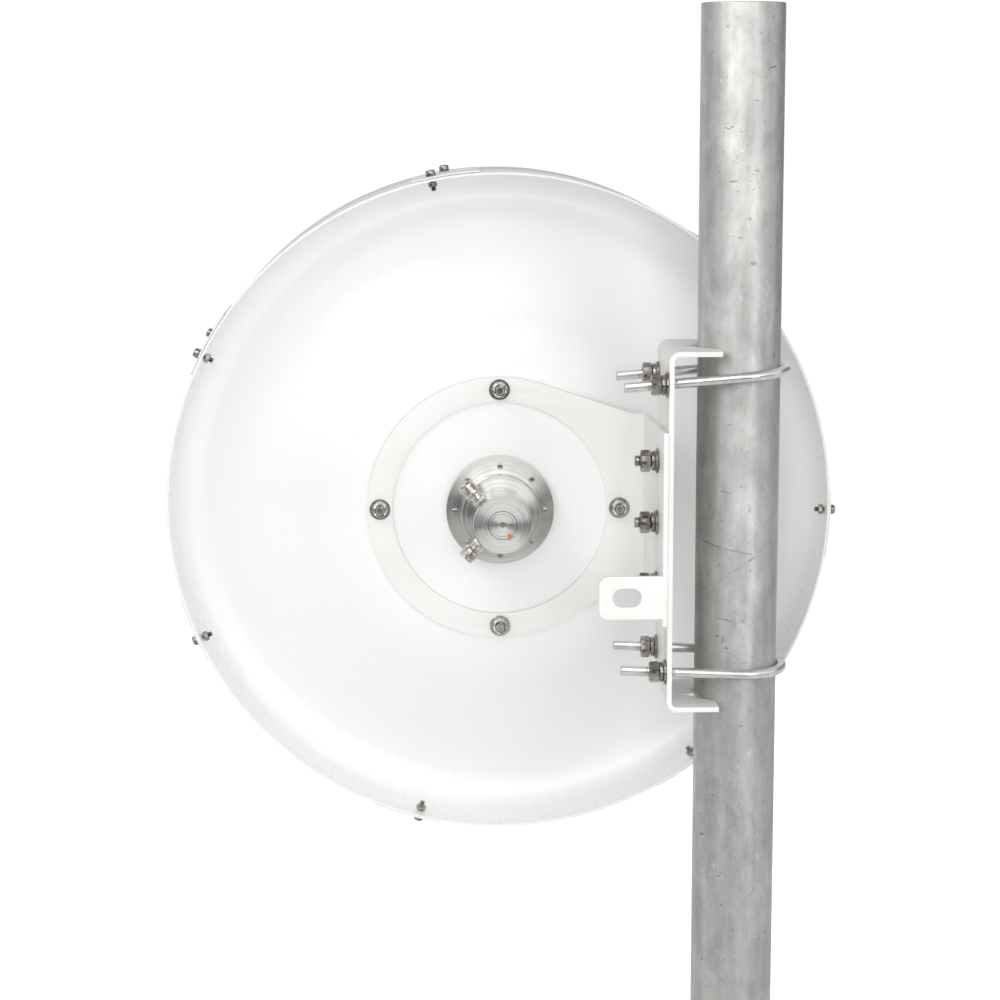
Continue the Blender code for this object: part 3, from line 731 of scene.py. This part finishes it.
def button_screw(radius, seat, low):
    """Button head with a hexagon socket, standing out from seat; the threaded shank runs in to low.

    Heights are distances from the dish axis.
    """
    above = [(4.9, 0.0), (5.0, 0.2), (5.0, 0.9), (4.8, 1.1), (4.3, 1.1), (4.6, 1.5), (4.6, 3.6), (4.2, 4.8), (3.2, 5.5),
             (2.2, 5.6)]
    head = turned([(radius, seat - 0.2)] + [(r, seat + h) for r, h in above], 32)
    booled(head, hexagon(3.0, seat + 3.4, seat + 7))
    pairs = [(radius - 0.5, low), (radius - 0.1, low + 0.6)] + thread(radius, 0.8, low + 0.8, seat - 1.0)
    shank = turned(pairs + [(radius, seat - 0.6), (radius, seat + 0.1)], 20)
    return joined(smoothed(head, 35), smoothed(shank, 28))


def rim_strap():
    """The plate that holds the cover's skirt to the lip, curved with the rim."""
    half = math.degrees(32.0 / RIM_R)
    y0, y1 = 146.0, 250.0
    strap = open_section(1.0)
    bpy.ops.transform.resize(value=(STRAP_THICK * MM, (y1 - y0) * MM, 1))
    bpy.ops.transform.rotate(value=math.radians(90), orient_axis="Y", center_override=(0, 0, 0))
    bpy.ops.transform.translate(value=Vector((0, (y0 + y1) / 2, RIM_R + GAP + STRAP_THICK / 2)) * MM)
    bpy.ops.transform.rotate(value=math.radians(-half), orient_axis="Y", center_override=(0, 0, 0))
    bpy.ops.mesh.spin(steps=16, angle=math.radians(2 * half), center=(0, 0, 0), axis=(0, 1, 0))
    cap_holes()
    close_up(strap)
    placed(strap, Matrix.Identity(4))
    return strap


# ---------------------------------------------------------------- feed
CUT_PITCH, CUT_SLOPE = 0.52, 13.0                   # of the turning rings, in mm and degrees


def facing_cuts(r0, r1, y):
    """The fine turning rings on a faced surface, as a profile from r0 to r1 that never stands above y."""
    count = max(2, round((r1 - r0) / CUT_PITCH))
    step = (r1 - r0) / count
    line = []
    for i in range(count):
        deep = step * math.tan(math.radians(CUT_SLOPE * (0.9 + 0.1 * math.sin(i * 2.4)))) / math.pi
        line += [(r0 + step * (i + k / 4), y + deep * h) for k, h in ((0, 0.0), (1, 1.0), (2, 2.0), (3, 1.0))]
    return line + [(r1, y)]


def make_flange():
    y, r = FLANGE_Y, FLANGE_R
    outline = [(22.5, y), (35.0, y)] + facing_cuts(36.4, 49.7, y)
    outline += [(r - 0.2, y + 0.1), (r, y + 0.5), (r, 136.0), (22.5, 136.0)]
    flange = turned(outline, 160, ring=True)
    dress(placed(smoothed(flange, 30), DISH), "feed_flange_turned", "turned_aluminium", "dish", "feed_flange")
    cap = turned([(2.6, 0.0), (2.75, 0.2), (2.75, 1.9), (2.5, 2.2), (1.5, 2.2)], 24)
    booled(cap, hexagon(2.4, 1.2, 4))
    smoothed(eased(cap, 0.08, 1, 30), 30)
    for k in range(FLANGE_SCREWS):
        at = on_circle(SCREW_CIRCLE, k * 2 * math.pi / FLANGE_SCREWS, y) @ spun(k * 1.1)
        dress(copied(cap, at), "flange_screw_%d" % (k + 1), "stainless", "dish", (), CLEAN_HARDWARE)
    discard(cap)


def make_hub():
    """The collar, the body with its two ports, and the cap with its rings, small holes and index mark."""
    y, r = COLLAR_Y, COLLAR_R
    outline = [(22.5, y)] + facing_cuts(26.0, 35.6, y) + [(r - 0.2, y + 0.1), (r, y + 0.5), (r, 104.0), (35.6, 104.5)]
    outline += [(35.6, 105.3), (r, 105.8), (r, 118.1), (22.5, 118.1)]
    collar = turned(outline, 144, ring=True)
    dress(placed(smoothed(collar, 30), DISH), "feed_collar_turned", "turned_aluminium", "dish", "feed_collar")

    r = HUB_R
    body = turned([(19.0, 51.3), (26.1, 51.3), (r, 51.7), (r, 70.2), (26.1, 70.6), (26.1, 71.4), (r, 71.8), (r, 94.7),
                   (19.0, 94.7)], 128, ring=True)
    for d in PORT_ANGLES:
        a = math.radians(d)
        out = Vector((math.cos(a), math.sin(a), 0))
        side = Vector((-math.sin(a), math.cos(a), 0))
        booled(body, placed(turned([(3.0, 15.0), (3.0, 35.0)], 32), axes(side, Z, out, (0, 0, PORT_Y))))
    dress(placed(smoothed(body, 30), DISH), "feed_body_turned", "turned_aluminium", "dish", "feed_body")

    y = CAP_Y
    face = [(1.0, y + 2.2), (2.6, y + 2.2), (3.2, y + 0.4)] + facing_cuts(3.6, 10.2, y + 0.4)
    face += [(10.4, y + 0.9), (10.7, y + 0.9)] + facing_cuts(10.9, 12.6, y + 0.4)
    face += [(12.8, y + 1.1), (13.1, y + 1.1)] + facing_cuts(13.3, 25.9, y)
    face += [(26.3, y + 0.1), (r, y + 0.5), (r, y + 10.0), (1.0, y + 10.0)]
    lid = turned(face, 144)
    for x, z in ((-13.0, 14.0), (-13.4, -12.6), (14.2, 13.6)):
        booled(lid, placed(turned([(0.9, 30.0), (0.9, 43.0)], 20), shifted(x, -z, 0)))
    dress(placed(smoothed(lid, 30), DISH), "feed_cap_turned", "turned_aluminium", "dish", "feed_cap")
    deselect()
    bpy.ops.mesh.primitive_cylinder_add(vertices=3, radius=4.3 * MM, depth=0.16 * MM, location=(0, 0, 0))
    mark = eased(placed(bpy.context.active_object, Matrix.Identity(4)), 0.05, 1)
    at = axes(X, Z, -Y, (DISH_X + 6.7, y - 0.05, DISH_Z - 10.7)) @ spun(math.radians(28))
    dress(placed(mark, at), "index_mark", "turned_aluminium", "dish", (), MARKER)


def make_feed_inside():
    """The tube and the splash plate, which the cover hides."""
    tube = turned([(22.0, 95.3), (22.0, 261.5), (21.5, 262.0), (19.4, 262.0), (19.0, 261.5), (19.0, 95.3)], 96, ring=True)
    dress(placed(smoothed(tube, 30), DISH), "feed_tube_turned", "turned_aluminium", "dish", "feed_tube")
    plate = turned([(1.0, 262.3), (23.6, 262.3), (24.0, 262.8), (24.0, 280.0), (37.4, 284.0), (38.0, 284.8),
                    (38.0, 287.4), (37.4, 288.0), (20.0, 289.2), (1.0, 290.0)], 96)
    dress(placed(smoothed(plate, 30), DISH), "splash_plate_turned", "turned_aluminium", "dish", "splash_plate")


def make_connectors():
    foot = 27.5                                     # the face that a connector's hexagon stands on

    def above(*pairs):
        return [(r, foot + h) for r, h in pairs]

    nut = chamfered_hexagon(14.6, foot, foot + 3.2)
    smoothed(eased(nut, 0.12, 1, 25), 30)
    base = turned([(2.6, 20.0)] + above((2.6, 0.2), (7.0, 0.2), (5.6, 3.2), (5.6, 8.6), (7.2, 9.9)), 48)
    barrel = turned(above((5.2, 8.0), (7.4, 9.4), (7.9, 10.2), (7.9, 11.6), (7.4, 12.1))
                    + thread(7.6, 1.06, foot + 12.4, foot + 18.2, 0.45)
                    + above((7.4, 18.6), (7.4, 19.6), (7.1, 20.0), (6.5, 20.0), (6.2, 19.6), (6.2, 12.0), (5.2, 12.0)),
                    48, ring=True)
    shell = joined(smoothed(barrel, 30), smoothed(base, 30), nut)
    insert = smoothed(turned(above((1.6, 12.6), (3.9, 12.6), (4.2, 12.9), (4.2, 13.8), (5.9, 14.2), (5.9, 11.0),
                                   (1.6, 11.0)), 40, ring=True), 30)
    pin = smoothed(turned(above((1.5, 11.0), (1.5, 17.3), (1.1, 18.0)), 24), 30)
    for name, d in zip(("upper", "lower"), PORT_ANGLES):
        at = rim(d) @ shifted(0, PORT_Y, 0)
        node = "connector_" + name
        dress(copied(shell, at), node + "_shell", "nickel", "dish", node)
        dress(copied(insert, at), node + "_insulator", "nickel", "dish", (), INSULATOR)
        dress(copied(pin, at), node + "_pin", "nickel", "dish", (), GOLD)
    discard(shell, insert, pin)


def make_rim_fixings():
    strap = smoothed(eased(rim_strap(), 0.45, 2), 35)
    outer = RIM_R + GAP + STRAP_THICK
    near, far = [joined(button_screw(2.5, outer + lift, RIM_R - wall - 9.5), hex_nut(8.0, RIM_R - wall - 5.6, 4.4, 2.55))
                 for lift, wall in ((GAP, SHELL), (0.05, SKIN))]
    turn = Matrix.Rotation(math.radians(STRAP_TURN), 4, "Y")
    for k in range(RIM_COUNT):
        place = rim(RIM_PHASE + 360.0 * k / RIM_COUNT)
        plate, screw, cover = "rim_strap_%d" % (k + 1), "rim_screw_%d" % (k + 1), "cover_screw_%d" % (k + 1)
        near_at = place @ shifted(0, RIM_SCREW_Y, 0) @ spun(k * 0.9)
        far_at = place @ turn @ shifted(0, SKIN_SCREW_Y, 0) @ spun(k * 1.3)
        dress(copied(strap, place @ turn), plate + "_plate", "white_shell", "dish", plate)
        dress(copied(near, near_at), screw + "_set", "stainless", "dish", screw)
        dress(copied(far, far_at), cover + "_set", "stainless", "dish")
    discard(strap, near, far)


make_pole()
make_u_bolts()
make_fasteners()
make_sheets()
make_reflector()
make_radome()
make_rim_fixings()
make_flange()
make_hub()
make_feed_inside()
make_connectors()

# ---------------------------------------------------------------- studio
# Each wall and the ceiling: the way to it and its strength.
ROOM = (((-1, 0, 0), 0.75), ((1, 0, 0), 1.0), ((0, -1, 0), 1.8), ((0, 1, 0), 0.8), ((0, 0, 1), 0.4))
# Where the room is dim: two ways, each with the range over which it darkens, and the share of light that remains.
SHADES = (
    (((0, 0, -1), -0.1, -0.01), ((0, -1, 0), 0.2, 0.6), 0.06),       # the strip along the front
    (((0.8, 0.6, 0), 0.82, 0.95), ((1, 0, 0), 0.0, 0.1), 0.3),       # a corner
)
FLOOR_GLOW = 0.74                                   # how strongly the floor lights the rest
SEEN_FLOOR, SEEN_WALL = 0.85, 1.05                  # what only the camera's own rays see
MATT_SHARE = 0.35                                   # of the room's light, what matt surfaces get


def make_floor():
    """A pale floor that takes soft shadows. The camera sees it nearly white; its glow lights the rest."""
    deselect()
    bpy.ops.mesh.primitive_plane_add(size=24.0, location=(0, 0, -0.002))
    floor = bpy.context.active_object
    floor.name = "studio_floor"
    paint = Finish("floor_white", (0.8, 0.8, 0.8), 0.0, 1.0)
    tree = paint.tree
    tree.nodes.remove(paint.shader)
    matt = paint.node("ShaderNodeBsdfDiffuse", None, {"Color": (0.8, 0.8, 0.8, 1)})
    seen = paint.node("ShaderNodeEmission", None, {"Strength": SEEN_FLOOR})
    pale = paint.node("ShaderNodeAddShader", None, {0: matt, 1: seen})
    side, depth, _ = paint.parts(paint.coords())[:3]
    away = (side * side * 0.5 + depth * depth) ** 0.5
    dim = paint.smooth_range(away, 2.1, 3.2) * paint.range(depth, -0.9, -0.2, 1.0, 0.0)
    glow = paint.node("ShaderNodeEmission", None, {"Strength": (1.0 - dim * 0.92) * FLOOR_GLOW})
    path = paint.node("ShaderNodeLightPath")
    look = paint.node("ShaderNodeMixShader", None, {0: path, 1: glow, 2: pale})
    tree.links.new(look.socket, tree.nodes["Material Output"].inputs["Surface"])
    floor.data.materials.append(paint.material)


def make_room():
    """A white room whose walls differ. It is dimmer for matt surfaces, and plain white for the camera."""
    world = bpy.context.scene.world or bpy.data.worlds.new("studio")
    bpy.context.scene.world = world
    world.use_nodes = True
    world.cycles.sampling_method = "NONE"           # the room isn't sampled as a light
    room = Finish.__new__(Finish)
    room.tree = tree = world.node_tree
    tree.nodes.clear()
    way = room.node("ShaderNodeTexCoord")
    total = 0.0
    for wall, strength in ROOM:
        total = room.range(room.dot(way, wall), 0.0, 1.0) ** 2.0 * strength + total
    for one, other, remains in SHADES:
        shut = [room.smooth_range(room.dot(way, direction), low, high) for direction, low, high in (one, other)]
        total = total * (1.0 - shut[0] * shut[1] * (1.0 - remains))
    matt_ray = room.node("ShaderNodeLightPath", out=2)
    total = total * (1.0 - matt_ray * (1.0 - MATT_SHARE))
    path = room.node("ShaderNodeLightPath")
    strength = room.node("ShaderNodeMix", None, {0: path, 2: total, 3: SEEN_WALL})
    back = room.node("ShaderNodeBackground", None, {"Color": (1, 1, 1, 1), "Strength": strength})
    out = tree.nodes.new("ShaderNodeOutputWorld")
    tree.links.new(back.socket, out.inputs["Surface"])


def softbox(name, at, target, size, power, mirrored=True):
    """A soft rectangle of light; where mirrored is off, it doesn't show in reflections."""
    light = bpy.data.lights.new(name, "AREA")
    light.shape = "RECTANGLE"
    light.size, light.size_y = size
    light.energy = power
    obj = bpy.data.objects.new(name, light)
    bpy.context.scene.collection.objects.link(obj)
    obj.location = at
    obj.rotation_euler = (Vector(target) - Vector(at)).to_track_quat("-Z", "Y").to_euler()
    obj.visible_glossy = mirrored


def make_lights():
    softbox("camera_fill", (-0.28, -2.5, 1.0), (-0.2, 0.1, 0.6), (1.4, 1.4), 21, False)
    softbox("right_fill", (1.5, -1.6, 0.9), (-0.1, 0.1, 0.6), (0.8, 1.4), 3, False)
    softbox("left_fill", (-2.0, -1.2, 0.8), (0, 0.1, 0.6), (0.8, 1.4), 1.5, False)
    softbox("left_top", (-1.6, -0.9, 2.6), (-0.2, 0.1, 0.6), (1.2, 1.2), 13)
    softbox("right_front", (1.6, -2.4, 1.3), (0, 0.0, 0.6), (0.7, 2.0), 9)
    softbox("low_fill", (-0.25, -1.6, 0.06), (-0.2, 0.15, 0.75), (1.2, 0.6), 5, False)
    softbox("cover_fill", (-0.3, 2.5, 1.1), (-0.2, 0.3, 0.6), (1.4, 1.4), 11, False)
    softbox("top_front", (-0.22, -1.2, 1.85), (-0.15, 0.1, 0.85), (0.7, 0.4), 2.2)
    softbox("left_strip", (-1.35, -1.9, 2.0), (0.0, 0.0, 0.8), (0.5, 0.9), 5)


def make_camera():
    """The photograph's view: a square frame of 1000 pixels, and the focal length in the same pixels."""
    frame_width, focal = 1000.0, 2485.5
    swing, dip, roll = math.radians(1.72), math.radians(9.56), math.radians(-0.14)
    data = bpy.data.cameras.new("camera")
    data.sensor_fit = "HORIZONTAL"
    data.sensor_width = 36.0
    data.lens = focal * data.sensor_width / frame_width
    cam = bpy.data.objects.new("camera", data)
    bpy.context.scene.collection.objects.link(cam)
    look = Vector((math.sin(swing) * math.cos(dip), math.cos(swing) * math.cos(dip), -math.sin(dip)))
    level = Vector((math.cos(swing), -math.sin(swing), 0))
    up = level.cross(look)
    right = level * math.cos(roll) + up * math.sin(roll)
    up = right.cross(look)
    m = Matrix((right, up, -look)).transposed().to_4x4()
    m.translation = (-0.2756, -2.1684, 0.9956)
    cam.matrix_world = m
    bpy.context.scene.camera = cam


make_floor()
make_room()
make_lights()
make_camera()
bpy.context.scene.view_settings.view_transform = "Standard"
bpy.context.scene.view_settings.look = "None"
